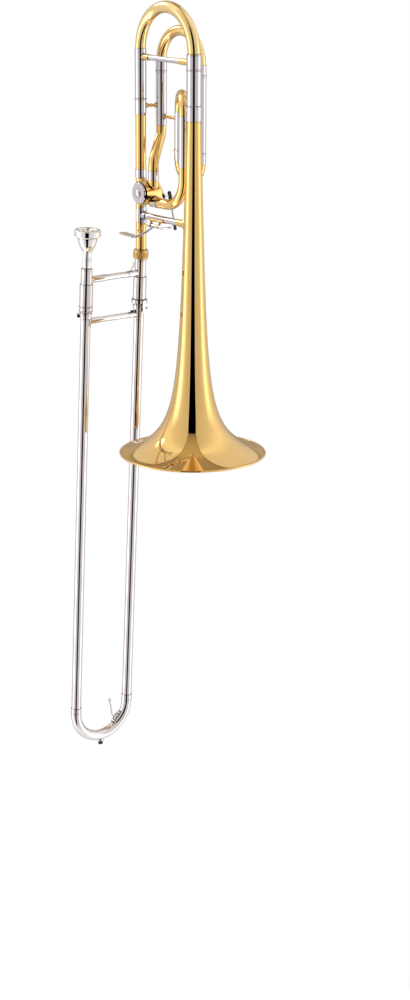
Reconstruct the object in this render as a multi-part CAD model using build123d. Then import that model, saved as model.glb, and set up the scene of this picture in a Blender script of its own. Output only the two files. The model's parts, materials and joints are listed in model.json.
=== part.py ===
from build123d import *
import math
import os

# Large-bore tenor trombone with an F attachment, hanging bell down.
# Millimetres. Origin: centre of the bell rim's lowest plane. +Z: along the bell axis, away from the
# rim. X: from the neck pipe (negative) to the bell axis. Y: the hand slide's mouthpiece side is
# negative, the F attachment is positive.

# ---- driving dimensions -------------------------------------------------------------------------
WALL = 0.5                       # wall of plain tubing
FIT = 0.05                       # radial clearance of a sliding or turning fit
NECK_X = -124.0                  # neck pipe axis; the bell axis is X = 0

# bell: radius = A * ((z + B) / 100) ** -P + C + T * (top - z)
BELL_A, BELL_B, BELL_P, BELL_C, BELL_T = 26.0, 54.6, 2.009, 9.49, 0.0207
BELL_TOP = 485.0
BELL_WALL = 0.6
BEAD_R, BEAD_Z = 1.4, 1.2        # rolled rim bead: its section radius and height
BEAD_BORE = 0.9                  # radius of the wire that the rim is rolled around
BELL_STEPS, BELL_CROWD = 22, 2.1 # points along the bell's outline, crowded towards the rim

# main tuning slide
TUNE_Z0, TUNE_Z1 = 504.5, 576.8  # bottom of the slide's legs and start of the bow
SMALL_TUBE_R = 7.75              # neck pipe and the bow's narrow end
BELL_TUBE_R = 9.4                # the bow's wide end
NECK_SLEEVE_R = 8.4
BELL_SLEEVE_R = 10.7
TUNE_RING_Z = 556.4
TUNE_BRACE_Z = 565.2
TUNE_BRACE_R, TUNE_FOOT_R = 3.8, 4.6
SLEEVE_WALL = 0.6                # wall of the outer slide sleeves
LIP_OUT, LIP_IN = 0.9, 0.1       # a sleeve's end bead: how far it stands proud, and its root
FERRULE_OUT = 0.65

# rotary valve, axis along Y
VALVE_X, VALVE_Z = -107.0, 371.0
CASING_R, ROTOR_R, ROTOR_HALF = 17.5, 15.6, 8.3
CASING_FRONT, CASING_BACK = -14.6, 12.6
CAP_R, CAP_Y = 15.4, -18.2
CHANNEL_R = 6.1                  # passages through the rotor
KNUCKLE_R, KNUCKLE_BORE = 7.7, 6.9
SPINDLE_R = 3.0
PLATE_T = 2.6                    # bearing plate
DOME_R, CAP_CHAMFER = 7.3, 0.8
NECK_PORT_TOP, NECK_PORT_LOW = 391.5, 348.0
ARM_Y, ARM_R, ARM_REST = 15.3, 14.0, -29.0   # stop arm: start along Y, ball radius, rest angle
BALL_Y = 31.0
HUB_R, HUB_END = 5.2, 8.5        # stop arm's hub: radius and length
ARM_AT, ARM_T = 6.2, 2.4         # its plate: place along the hub and thickness
STUD_R, STUD_END = 1.3, BALL_Y - 2.6
BUMPER_R, BUMPER_AT, FINGER_HALF = 2.3, 9.3, 1.7
STOP_PLATE_T = 1.6

# F attachment, in the plane Y = F_Y behind the bell section
F_Y = 29.0
F_TUBE_R = 7.5
F_SLEEVE_R, F_LEG_R = 8.1, 7.8    # outer sleeves and the loop's straight legs
COLLAR = 0.6                     # how far ferrules stand proud
F_LIP_OUT, F_LIP_H = 0.8, 0.7    # sleeve beads: step and half height
STRUT_FOOT_R, STRUT_R, STRUT_BEAD_R, STRUT_FOOT = 3.4, 1.9, 2.7, 2.6
F_LEFT_X, F_RIGHT_X = -112.7, -21.0
F_BOW_Z, F_RING_Z = 558.7, 544.7
F_LEFT_Z, F_RIGHT_Z = 466.3, 433.8
LOOP_BACK_X, LOOP_FRONT_X = -69.0, -22.5
LOOP_TOP_Z = 489.0
F_LOW_Z = 419.5                  # where the lower nickel ferrules end
PORT_X, PORT_Z = VALVE_X + 13.0, VALVE_Z - 12.0   # F ports: upright tube's X, level tube's Z
F_PORT_TOP, F_FERRULE_TOP = 390.8, 403.8
F_PORT_END, F_PORT_FERRULE = -89.0, -80.5

# hand brace and thumb lever
BRACE_Z, BRACE_R = 336.0, 4.75
BRACE_SPLIT = -35.5              # where the nickel tube meets the brass socket
HINGE_Y, HINGE_Z = -5.0, 325.0
HINGE_X0, HINGE_X1 = -98.0, -74.0
POST_R, HINGE_PIN_R, HINGE_TUBE_R, HINGE_HEAD = 1.8, 1.5, 2.6, 2.2
PADDLE_ROD, LINK_ARM_ROD = 1.9, 1.6
BALL_X, BALL_Z = -82.2, 318.0    # ball at the lower end of the link
LINK_BALL_R, LINK_LOW_R = 3.4, 2.6
LINK_NECK, LINK_ROD_R = 8.5, 1.2 # length of a ball end's shank and radius of the steel rod
LINK_SIDE = -8.8                 # the lever's arm passes this far beside that ball

# hand slide: local frame, origin where the inner brace meets the neck-side tube, +Z up the tube
CANT = 3.28                      # angle between the hand slide and the bell axis
CANT_Z = 292.0                   # height where the neck pipe turns
BRACE_DROP = 42.6                # from there down to the inner brace
SLIDE_W = 98.0                   # distance between the two slide tubes
INNER_R, OUTER_BORE, OUTER_R = 6.95, 7.0, 7.45
BARREL_TOP, BARREL_BOTTOM, BARREL_R = -6.0, -46.5, 9.9
OUTER_TOP, OUTER_END = -17.0, -691.5
CROOK_R, CROOK_TUBE_R = 49.0, 7.8
OUTER_BRACE_Z = -62.3
INNER_END = -680.0
RECEIVER_TOP = 17.2              # mouthpiece receiver's open end
TENON_DROP = 7.6                 # how far below the turn the tenon begins
TAPER = 34.0                     # length of the leadpipe's tapered mouth
NUT_R, NUT_TOP, NUT_LOW, FLUTES = 11.3, 7.4, 20.5, 30
NECK_RECEIVER_R, RECEIVER_DROP = 8.2, 12.4
RECEIVER_RS = (8.6, 8.0)         # its radius at the barrel and at the open end
INNER_FEET = (33.0, 23.0)        # how far the inner brace's end sockets reach from the tube axes
OUTER_FEET = (26.0, 19.0)        # and the outer brace's
MOUTHPIECE_TOP = 75.0
LUG_ANGLE = 51.0                 # place of the small lug round the mouthpiece-side tube, from -X
LOCK_Z, LOCK_ANGLE = -53.0, 45.0  # stud that the slide lock's hook goes under
KEY_ANGLE, KEY_PAD_TILT = -42.0, 50.0   # water key: place round the crook, pad's turn to the side

# ---- helpers --------------------------------------------------------------------------------------
def rod(p, q, r, r2=None):
    """A round bar, or a cone when r2 is given, from point p to point q."""
    p, q = Vector(*p), Vector(*q)
    plane = Plane(origin=p, z_dir=q - p)
    length = (q - p).length
    if r2 is None or r2 == r:
        return plane * Cylinder(r, length, align=(Align.CENTER, Align.CENTER, Align.MIN))
    return plane * Cone(r, r2, length, align=(Align.CENTER, Align.CENTER, Align.MIN))


def pipe(p, q, r, bore):
    """A straight tube from p to q."""
    return rod(p, q, r) - rod(p, q, bore)


def ring(axis_point, axis, r, bore, height):
    """A collar centred on axis_point."""
    a, c = Vector(*axis).normalized(), Vector(*axis_point)
    lo, hi = c - a * (height / 2), c + a * (height / 2)
    return pipe(tuple(lo), tuple(hi), r, bore)


def swept(points, radii, r):
    """A solid round bar along straight runs joined by tangent arcs."""
    path = FilletPolyline(*points, radius=radii)
    return sweep(Plane(origin=path @ 0, z_dir=path % 0) * Circle(r), path=path)


def bent_pipe(points, radii, r, bore):
    return swept(points, radii, r) - swept(points, radii, bore)


def u_bow(p, q, r, bore, up, r2=None, bore2=None):
    """A half-circle tube from p to q, bulging towards up; r2 is the radius at q when it tapers."""
    p, q = Vector(*p), Vector(*q)
    mid, rad = (p + q) / 2, (q - p).length / 2
    arc = ThreePointArc(p, mid + Vector(*up) * rad, q)

    def solid(a, b):
        first = Plane(origin=p, z_dir=arc % 0) * Circle(a)
        if b is None or b == a:
            return sweep(first, path=arc)
        last = Plane(origin=q, z_dir=arc % 1) * Circle(b)
        return sweep([first, last], path=arc, multisection=True)

    return solid(r, r2) - solid(bore, bore2)


def box(lo, hi):
    """A box between two corners."""
    size = [hi[i] - lo[i] for i in range(3)]
    mid = [(hi[i] + lo[i]) / 2 for i in range(3)]
    return Pos(*mid) * Box(*size)


def ball(c, r):
    return Pos(*c) * Sphere(r)


def up_tube(x, y, z0, z1, r, bore):
    return pipe((x, y, z0), (x, y, z1), r, bore)


nodes = {}


def add(name, shape):
    nodes[name] = shape


# ---- bell -----------------------------------------------------------------------------------------
def bell_radius(z):
    return BELL_A * ((z + BELL_B) / 100) ** -BELL_P + BELL_C + BELL_T * (BELL_TOP - z)


def bell_profile(inset):
    """Points of the bell's section, moved inwards from the outer surface by inset."""
    points = []
    for i in range(BELL_STEPS + 1):
        z = BEAD_Z + (BELL_TOP - BEAD_Z) * (i / BELL_STEPS) ** BELL_CROWD
        r = bell_radius(z - BEAD_Z * (1 - i / BELL_STEPS))
        slope = (bell_radius(z + 0.05) - bell_radius(z - 0.05)) / 0.1
        n = math.hypot(1, slope)
        points.append((r - inset / n, z + inset * slope / n))
    points[-1] = (bell_radius(BELL_TOP) - inset, BELL_TOP)
    return points


def bell():
    outer, inner = bell_profile(0), bell_profile(BELL_WALL)
    ends = Line(outer[-1], inner[-1]), Line(inner[0], outer[0])
    sheet = make_face([Spline(*outer), ends[0], Spline(*inner), ends[1]])
    bead_at = Pos(bell_radius(0) - BEAD_BORE, BEAD_Z)
    below = Pos(bell_radius(0), -5) * Rectangle(20, 10)
    section = sheet + bead_at * Circle(BEAD_R) - bead_at * Circle(BEAD_BORE) - below
    add("bell", revolve(Plane.XZ * section, Axis.Z))
    add("bell_rim_wire", revolve(Plane.XZ * (bead_at * Circle(BEAD_BORE)), Axis.Z))


def bell_fittings():
    top_r = bell_radius(BELL_TOP)
    r = BELL_SLEEVE_R
    add("bell_ferrule", up_tube(0, 0, BELL_TOP, TUNE_Z0, r + FERRULE_OUT, top_r - BELL_WALL))
    sleeve = up_tube(0, 0, TUNE_Z0, TUNE_RING_Z, r, r - SLEEVE_WALL)
    for z in (TUNE_Z0 + 0.8, TUNE_RING_Z - 0.8):
        sleeve += up_tube(0, 0, z - 0.8, z + 0.8, r + LIP_OUT, r - LIP_IN)
    add("bell_slide_sleeve", sleeve)


# ---- neck -----------------------------------------------------------------------------------------
def neck():
    x, r = NECK_X, SMALL_TUBE_R
    add("neck_tube_upper", up_tube(x, 0, 402.9, 483.1, r, r - WALL))
    leg = up_tube(x, 0, 483.1, TUNE_Z0 - 0.6, r + 0.5, r - WALL)
    leg += up_tube(x, 0, TUNE_Z0 - 1.0, 566.0, NECK_SLEEVE_R - SLEEVE_WALL - FIT, r - WALL)
    add("neck_slide_leg", leg)


# ---- main tuning slide ----------------------------------------------------------------------------
def tuning_slide():
    left, right = (NECK_X, 0, TUNE_Z1), (0, 0, TUNE_Z1)
    add("tuning_bow", u_bow(left, right, SMALL_TUBE_R, SMALL_TUBE_R - WALL, (0, 0, 1),
                            BELL_TUBE_R, BELL_TUBE_R - WALL))
    r = NECK_SLEEVE_R
    sleeve = up_tube(NECK_X, 0, TUNE_Z0 - 0.3, TUNE_Z1, r, r - SLEEVE_WALL)
    sleeve += up_tube(NECK_X, 0, TUNE_Z0 - 0.3, TUNE_Z0 + 1.3, r + LIP_OUT, r - LIP_IN)
    add("tuning_neck_sleeve", sleeve)
    r = BELL_SLEEVE_R
    ferrule = up_tube(0, 0, TUNE_RING_Z + 0.3, TUNE_Z1, r, r - SLEEVE_WALL - FIT)
    ferrule += up_tube(0, 0, TUNE_Z1 - 1.5, TUNE_Z1, r + 0.5, r - 0.1)
    inner = up_tube(0, 0, TUNE_Z0 + 1.0, TUNE_Z1, r - SLEEVE_WALL - FIT, r - SLEEVE_WALL - WALL - FIT)
    add("tuning_bell_leg", ferrule + inner)
    z = TUNE_BRACE_Z
    neck_cut = rod((NECK_X, 0, z - 20), (NECK_X, 0, z + 20), NECK_SLEEVE_R)
    bell_cut = rod((0, 0, z - 20), (0, 0, z + 20), BELL_SLEEVE_R)
    a, b = NECK_X + 21.0, -31.0
    ends = rod((NECK_X + 4, 0, z), (a, 0, z), TUNE_FOOT_R) - neck_cut
    ends += rod((b, 0, z), (-4, 0, z), TUNE_FOOT_R) - bell_cut
    add("tuning_brace_ends", ends)
    add("tuning_brace", rod((a, 0, z), (b, 0, z), TUNE_BRACE_R))


# ---- rotary valve ---------------------------------------------------------------------------------
def valve_point(offset_x, y, offset_z):
    return (VALVE_X + offset_x, y, VALVE_Z + offset_z)


def knuckles(r):
    """The four port elbows as solid bars of radius r."""
    dx = NECK_X - VALVE_X
    f_top = PORT_X - VALVE_X
    f_low = VALVE_Z - PORT_Z
    routes = [
        [valve_point(-9, 0, 9), valve_point(dx, 0, -dx), (NECK_X, 0, NECK_PORT_TOP)],
        [valve_point(-9, 0, -9), valve_point(dx, 0, dx), (NECK_X, 0, NECK_PORT_LOW)],
        [valve_point(8.6, 0, 8.6), valve_point(f_top, 0, f_top), (PORT_X, 0, F_PORT_TOP)],
        [valve_point(8.6, 0, -8.6), valve_point(f_low, 0, -f_low), (F_PORT_END, 0, PORT_Z)],
    ]
    bars = []
    for route in routes:
        path = Polyline(*route)
        section = Plane(origin=path @ 0, z_dir=path % 0) * Circle(r)
        bars.append(sweep(section, path=path, transition=Transition.RIGHT))
    return bars


def valve():
    shell = rod((VALVE_X, CASING_FRONT, VALVE_Z), (VALVE_X, CASING_BACK, VALVE_Z), CASING_R)
    for elbow in knuckles(KNUCKLE_R):
        shell += elbow
    bores = rod((VALVE_X, CASING_FRONT - 1, VALVE_Z), (VALVE_X, ROTOR_HALF + 0.1, VALVE_Z), ROTOR_R + FIT)
    bores += rod((VALVE_X, 0, VALVE_Z), (VALVE_X, 30, VALVE_Z), SPINDLE_R + FIT)
    for elbow in knuckles(KNUCKLE_BORE):
        bores += elbow
    add("valve_casing", shell - bores)

    plate_y = -ROTOR_HALF - 0.1
    front = rod((VALVE_X, plate_y - PLATE_T, VALVE_Z), (VALVE_X, plate_y, VALVE_Z), ROTOR_R + FIT)
    add("valve_bearing_plate", front - rod((VALVE_X, -20, VALVE_Z), (VALVE_X, 0, VALVE_Z), SPINDLE_R + FIT))

    cap = rod((VALVE_X, CAP_Y, VALVE_Z), (VALVE_X, CASING_FRONT, VALVE_Z), CAP_R)
    rim = cap.edges().filter_by(GeomType.CIRCLE).sort_by(Axis.Y)[0]
    cap = chamfer(rim, CAP_CHAMFER)
    dome = ball((VALVE_X, CAP_Y + 4.0, VALVE_Z), DOME_R) & box(
        (VALVE_X - 9, CAP_Y - 9, VALVE_Z - 9), (VALVE_X + 9, CAP_Y + 0.2, VALVE_Z + 9))
    cap = cap + dome
    cap -= rod((VALVE_X, CASING_FRONT - 2.0, VALVE_Z), (VALVE_X, CASING_FRONT, VALVE_Z), 3.4)
    add("valve_cap", cap)


def rotor():
    core = rod((VALVE_X, -ROTOR_HALF, VALVE_Z), (VALVE_X, ROTOR_HALF, VALVE_Z), ROTOR_R)
    reach = ROTOR_R * math.sqrt(2)
    for side in (-1, 1):
        channel = Pos(VALVE_X + side * reach, 0, VALVE_Z) * Rot(90, 0, 0) * Torus(ROTOR_R, CHANNEL_R)
        core -= channel
    core += rod((VALVE_X, -ROTOR_HALF - 2.5, VALVE_Z), (VALVE_X, -ROTOR_HALF, VALVE_Z), SPINDLE_R)
    core += rod((VALVE_X, ROTOR_HALF, VALVE_Z), (VALVE_X, ARM_Y, VALVE_Z), SPINDLE_R)
    add("rotor", core)

    hub_end = ARM_Y + HUB_END
    hub = rod((VALVE_X, ARM_Y, VALVE_Z), (VALVE_X, hub_end, VALVE_Z), HUB_R)
    a = math.radians(ARM_REST)
    out = (math.cos(a), math.sin(a))
    plate_y = ARM_Y + ARM_AT
    plate = Pos(ARM_R / 2, 0, 0) * Box(ARM_R, ARM_T, 5.6)
    plate = Pos(VALVE_X, plate_y, VALVE_Z) * Rot(0, -ARM_REST, 0) * plate
    eye = (VALVE_X + ARM_R * out[0], plate_y - ARM_T / 2, VALVE_Z + ARM_R * out[1])
    end = rod(eye, (eye[0], plate_y + ARM_T / 2, eye[2]), 2.8)
    finger = Pos(4.5, 0, 0) * Box(9, 3.0, 2 * FINGER_HALF)
    finger = Pos(VALVE_X, ARM_Y + 2.5, VALVE_Z) * Rot(0, 180 - ARM_REST, 0) * finger
    stud = rod((eye[0], plate_y + ARM_T / 2, eye[2]), (eye[0], STUD_END, eye[2]), STUD_R)
    add("stop_arm", hub + plate + end + finger + stud)
    screw = rod((VALVE_X, hub_end, VALVE_Z), (VALVE_X, hub_end + 2.2, VALVE_Z), 3.1)
    slot = box((VALVE_X - 4, hub_end + 1.2, VALVE_Z - 0.4), (VALVE_X + 4, hub_end + 4, VALVE_Z + 0.4))
    add("stop_arm_screw", screw - slot)
    return eye


def stop_plate():
    """A quarter plate on the casing's back with a bumper at each end of the stop arm's travel."""
    a0 = 180 + ARM_REST
    start = CASING_BACK
    plate = rod((VALVE_X, start, VALVE_Z), (VALVE_X, start + STOP_PLATE_T, VALVE_Z), 12.6)
    plate -= rod((VALVE_X, 0, VALVE_Z), (VALVE_X, 40, VALVE_Z), 6.0)
    nodes["valve_casing"] += plate
    bumpers = []
    half = math.degrees(math.asin((FINGER_HALF + BUMPER_R + 0.15) / BUMPER_AT))
    for angle in (a0 - half, a0 + 90 + half):
        t = math.radians(angle)
        c = (VALVE_X + BUMPER_AT * math.cos(t), start + STOP_PLATE_T, VALVE_Z + BUMPER_AT * math.sin(t))
        bumpers.append(rod(c, (c[0], ARM_Y + 4.6, c[2]), BUMPER_R))
    add("stop_bumpers", Compound(children=bumpers))


def link(eye):
    """Adjustable rod with a ball joint at each end; its lower joint stays open."""
    top = Vector(eye[0], BALL_Y, eye[2])
    low = Vector(BALL_X, BALL_Y, BALL_Z)
    axis = (low - top).normalized()
    upper = ball(tuple(top), LINK_BALL_R) + ball(tuple(top - axis * 4.6), 3.0)
    upper += rod(tuple(top), tuple(top + axis * LINK_NECK), 2.7)
    upper -= rod((eye[0], 0, eye[2]), (eye[0], STUD_END, eye[2]), STUD_R + FIT)
    lower = ball(tuple(low), LINK_LOW_R) + rod(tuple(low - axis * LINK_NECK), tuple(low), 2.2)
    add("link_ball_ends", upper + lower)
    add("link_rod", rod(tuple(top + axis * LINK_NECK), tuple(low - axis * LINK_NECK), LINK_ROD_R))


# ---- F attachment ---------------------------------------------------------------------------------
def f_attachment():
    r, wall = F_TUBE_R, WALL
    bore = r - wall
    collars = [up_tube(PORT_X, 0, F_PORT_TOP, F_FERRULE_TOP, r + COLLAR, bore),
               pipe((F_PORT_END, 0, PORT_Z), (F_PORT_FERRULE, 0, PORT_Z), r + COLLAR, bore),
               up_tube(NECK_X, 0, NECK_PORT_TOP, 402.9, SMALL_TUBE_R + 0.5, SMALL_TUBE_R - WALL)]
    add("valve_ferrules", Compound(children=collars))
    s_points = [(PORT_X, 0, F_FERRULE_TOP), (PORT_X, 0, 417.0),
                (F_LEFT_X, F_Y, 455.0), (F_LEFT_X, F_Y, F_LEFT_Z)]
    add("f_inlet_pipe", bent_pipe(s_points, [25, 25], r, bore))

    def sleeve(x, z0, bead_z):
        s = up_tube(x, F_Y, z0, F_RING_Z, F_SLEEVE_R, r + FIT)
        for z in bead_z:
            s += up_tube(x, F_Y, z - F_LIP_H, z + F_LIP_H, F_SLEEVE_R + F_LIP_OUT, r + 0.3)
        return s

    right = sleeve(F_RIGHT_X, F_RIGHT_Z, [F_RING_Z - F_LIP_H, F_RIGHT_Z + F_LIP_H])
    right += up_tube(F_RIGHT_X, F_Y, F_LOW_Z, F_RIGHT_Z, F_SLEEVE_R, bore)
    add("f_slide_sleeves", Compound(children=[sleeve(F_LEFT_X, F_LEFT_Z, [F_RING_Z - F_LIP_H]), right]))
    bottom = u_bow((F_RIGHT_X, F_Y, F_LOW_Z), (LOOP_BACK_X, F_Y, F_LOW_Z), r, bore, (0, 0, -1))
    back = up_tube(LOOP_BACK_X, F_Y, F_RIGHT_Z, LOOP_TOP_Z, F_LEG_R, bore)
    back += up_tube(LOOP_BACK_X, F_Y, F_LOW_Z, F_RIGHT_Z, F_SLEEVE_R, bore)
    back += up_tube(LOOP_BACK_X, F_Y, F_RIGHT_Z, F_RIGHT_Z + 2 * F_LIP_H, F_SLEEVE_R + F_LIP_OUT, bore)
    top = u_bow((LOOP_BACK_X, F_Y, LOOP_TOP_Z), (LOOP_FRONT_X, 0, LOOP_TOP_Z), r, bore, (0, 0, 1))
    add("loop_bends", Compound(children=[top, bottom]))
    front = up_tube(LOOP_FRONT_X, 0, 417.1, LOOP_TOP_Z, F_LEG_R, bore)
    add("loop_legs", Compound(children=[back, front]))
    turn = [(LOOP_FRONT_X, 0, 417.1), (LOOP_FRONT_X, 0, PORT_Z), (F_PORT_FERRULE, 0, PORT_Z)]
    add("f_return_bend", bent_pipe(turn, [40], r, bore))


def f_slide():
    r = F_TUBE_R
    add("f_slide_bow", u_bow((F_LEFT_X, F_Y, F_BOW_Z), (F_RIGHT_X, F_Y, F_BOW_Z), r, r - WALL, (0, 0, 1)))
    legs = []
    for x, bottom in ((F_LEFT_X, F_LEFT_Z + 4), (F_RIGHT_X, F_RIGHT_Z + 36)):
        legs.append(up_tube(x, F_Y, F_RING_Z + 0.3, F_BOW_Z, F_SLEEVE_R, r - WALL)
                    + up_tube(x, F_Y, bottom, F_BOW_Z, r, r - WALL))
    add("f_slide_legs", Compound(children=legs))


def small_strut(p, q, rp, rq):
    """A turned brace between two upright tubes of radius rp and rq, with a foot at each end."""
    p, q = Vector(*p), Vector(*q)
    d = (q - p).normalized()
    length = (q - p).length
    foot_p, foot_q, mid = rp + STRUT_FOOT, length - rq - STRUT_FOOT, (rp + length - rq) / 2
    outline = [(0, 2), (STRUT_FOOT_R, 2), (STRUT_FOOT_R, foot_p), (STRUT_R, foot_p + 0.5),
               (STRUT_R, mid - 2.4), (STRUT_BEAD_R, mid - 1.2), (STRUT_BEAD_R, mid + 1.2),
               (STRUT_R, mid + 2.4), (STRUT_R, foot_q - 0.5), (STRUT_FOOT_R, foot_q),
               (STRUT_FOOT_R, length - 2), (0, length - 2)]
    bar = revolve(Plane.XZ * make_face(Polyline(*outline, close=True)), Axis.Z)
    bar = Plane(origin=p, z_dir=d) * bar
    bar -= rod((p.X, p.Y, p.Z - 15), (p.X, p.Y, p.Z + 15), rp)
    return bar - rod((q.X, q.Y, q.Z - 15), (q.X, q.Y, q.Z + 15), rq)


def struts():
    bars = [
        small_strut((NECK_X, 0, 495.0), (F_LEFT_X, F_Y, 495.0), SMALL_TUBE_R + 0.5, F_SLEEVE_R),
        small_strut((F_LEFT_X, F_Y, 479.0), (LOOP_BACK_X, F_Y, 479.0), F_SLEEVE_R, F_LEG_R),
        small_strut((0, 0, 495.0), (F_RIGHT_X, F_Y, 495.0), BELL_SLEEVE_R + FERRULE_OUT, F_SLEEVE_R),
    ]
    z = 471.0
    block = rod((LOOP_FRONT_X, 0, z), (0, 0, z), 2.6)
    block -= rod((LOOP_FRONT_X, 0, z - 9), (LOOP_FRONT_X, 0, z + 9), F_LEG_R)
    block -= rod((0, 0, z - 9), (0, 0, z + 9), bell_radius(z - 9) + 0.02, bell_radius(z + 9) + 0.02)
    add("f_struts", Compound(children=bars + [block]))


# ---- hand brace and thumb lever -------------------------------------------------------------------
def hand_brace():
    z = BRACE_Z
    neck_cut = rod((NECK_X, 0, z - 40), (NECK_X, 0, z + 40), SMALL_TUBE_R)
    saddle = rod((NECK_X, 0, z - 13), (NECK_X, 0, z + 13), SMALL_TUBE_R + 0.9)
    saddle &= rod((NECK_X + 1, 0, z), (NECK_X + 20, 0, z), 12.5)
    saddle += rod((NECK_X, 0, z), (NECK_X + 14, 0, z), 5.9)
    add("neck_saddle", saddle - neck_cut)
    add("hand_brace", rod((NECK_X + 14, 0, z), (BRACE_SPLIT, 0, z), BRACE_R))
    bell_cut = rod((0, 0, z - 12), (0, 0, z + 12), bell_radius(z - 12) + 0.05, bell_radius(z + 12) + 0.05)
    flange = rod((BRACE_SPLIT, 0, z), (-6, 0, z), BRACE_R + 0.6)
    flange += rod((-17.5, 0, z), (-6, 0, z), 8.5)
    add("bell_flange", flange - bell_cut)


def trigger_mount():
    """Saddle under the hand brace, two posts and the fixed hinge screw."""
    brace = rod((NECK_X, 0, BRACE_Z), (0, 0, BRACE_Z), BRACE_R)
    saddle = rod((HINGE_X0 - 2, 0, BRACE_Z), (HINGE_X1 + 9, 0, BRACE_Z), BRACE_R + 1.1)
    saddle -= box((-200, -20, BRACE_Z - 0.5), (0, 20, BRACE_Z + 20))
    saddle -= brace
    for x in (HINGE_X0 + 2.0, HINGE_X1 - 2.0):
        post = rod((x, 0, BRACE_Z - 3), (x, HINGE_Y, HINGE_Z), POST_R)
        post += rod((x - POST_R, HINGE_Y, HINGE_Z), (x + POST_R, HINGE_Y, HINGE_Z), 3.0)
        saddle += post
    saddle -= brace
    pin = rod((HINGE_X0, HINGE_Y, HINGE_Z), (HINGE_X1, HINGE_Y, HINGE_Z), HINGE_PIN_R)
    add("trigger_saddle", saddle - pin)
    heads = rod((HINGE_X0 - HINGE_HEAD, HINGE_Y, HINGE_Z), (HINGE_X0, HINGE_Y, HINGE_Z), HINGE_TUBE_R)
    heads += rod((HINGE_X1, HINGE_Y, HINGE_Z), (HINGE_X1 + HINGE_HEAD, HINGE_Y, HINGE_Z), HINGE_TUBE_R)
    add("hinge_screw", pin + heads)


def thumb_lever():
    x0, x1 = HINGE_X0 + 4.1, HINGE_X1 - 4.1
    tube = pipe((x0, HINGE_Y, HINGE_Z), (x1, HINGE_Y, HINGE_Z), HINGE_TUBE_R, HINGE_PIN_R + FIT)
    # paddle arm: from the tube down past the neck pipe to the thumb plate
    knee = (-101.0, -27.0, 309.0)
    arm = rod((-87.5, HINGE_Y - 1.0, HINGE_Z - 1.5), (-92.0, -13.0, 317.0), PADDLE_ROD)
    arm += ball((-92.0, -13.0, 317.0), PADDLE_ROD)
    arm += rod((-92.0, -13.0, 317.0), knee, PADDLE_ROD)
    plate = Box(34.0, 13.0, 1.8)
    plate = Pos(-118.0, -28.0, 310.0) * Rot(0, 3, 0) * fillet(plate.edges().filter_by(Axis.Z), 5.0)
    arm += ball(knee, PADDLE_ROD)
    # link arm: behind the brace to the lower ball
    bend = (BALL_X + LINK_SIDE, 12.0, HINGE_Z - 6.0)
    far = rod((x1 - 2.5, HINGE_Y + 1.0, HINGE_Z - 1.0), bend, LINK_ARM_ROD) + ball(bend, LINK_ARM_ROD)
    far += rod(bend, (BALL_X + LINK_SIDE, BALL_Y + 1.5, BALL_Z), LINK_ARM_ROD)
    pin = rod((0, HINGE_Y, HINGE_Z), (-200, HINGE_Y, HINGE_Z), HINGE_PIN_R + FIT)
    add("thumb_lever", tube + arm + far + plate - pin)
    spring = ring((HINGE_X0 + 5.8, HINGE_Y, HINGE_Z), (1, 0, 0), 3.5, 2.75, 3.0)
    add("lever_spring", spring)


# ---- hand slide (local frame) ---------------------------------------------------------------------
def slide_frame():
    dx, dz = -math.sin(math.radians(CANT)) * BRACE_DROP, -math.cos(math.radians(CANT)) * BRACE_DROP
    return Location((NECK_X + dx, 0, CANT_Z + dz), (0, CANT, 0))


FRAME = slide_frame()
A_Y, B_Y = -SLIDE_W, 0.0         # mouthpiece-side tube, neck-side tube


def put(name, shape):
    """Add a node drawn in the hand slide's own frame."""
    add(name, FRAME * shape)


def slide_tube(y, z0, z1, r, bore):
    return up_tube(0, y, z0, z1, r, bore)


def neck_pipe_end():
    """Neck pipe below the valve, its canted end and the tapered tenon that enters the receiver."""
    r = SMALL_TUBE_R
    top = (NECK_X, 0, NECK_PORT_LOW)
    s, c = math.sin(math.radians(CANT)), math.cos(math.radians(CANT))
    end = (NECK_X - s * TENON_DROP, 0, CANT_Z - c * TENON_DROP)
    add("neck_pipe", bent_pipe([top, (NECK_X, 0, CANT_Z), end], [200], r, r - WALL))
    low, high = (0, 0, -4), (0, 0, BRACE_DROP - TENON_DROP)
    tenon = rod(low, high, 6.4, 7.2) - rod(low, high, 5.9, 6.6)
    collar = slide_tube(0, BRACE_DROP - 12.1, BRACE_DROP - 9.1, 9.0, 7.0)
    put("neck_tenon", tenon + collar)


def lock_nut():
    top, bottom = BRACE_DROP - NUT_TOP, BRACE_DROP - NUT_LOW
    nut = rod((0, 0, bottom), (0, 0, top), NUT_R)
    for i in range(FLUTES):
        a = 2 * math.pi * i / FLUTES
        x, y = (NUT_R + 0.2) * math.cos(a), (NUT_R + 0.2) * math.sin(a)
        nut -= rod((x, y, bottom + 2.4), (x, y, top - 3.0), 0.6)
    nut -= rod((0, 0, top - 1.2), (0, 0, top + 1), SMALL_TUBE_R + 0.3)
    nut -= rod((0, 0, bottom - 1), (0, 0, top - 1.2), 9.3)
    put("lock_nut", nut)


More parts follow.
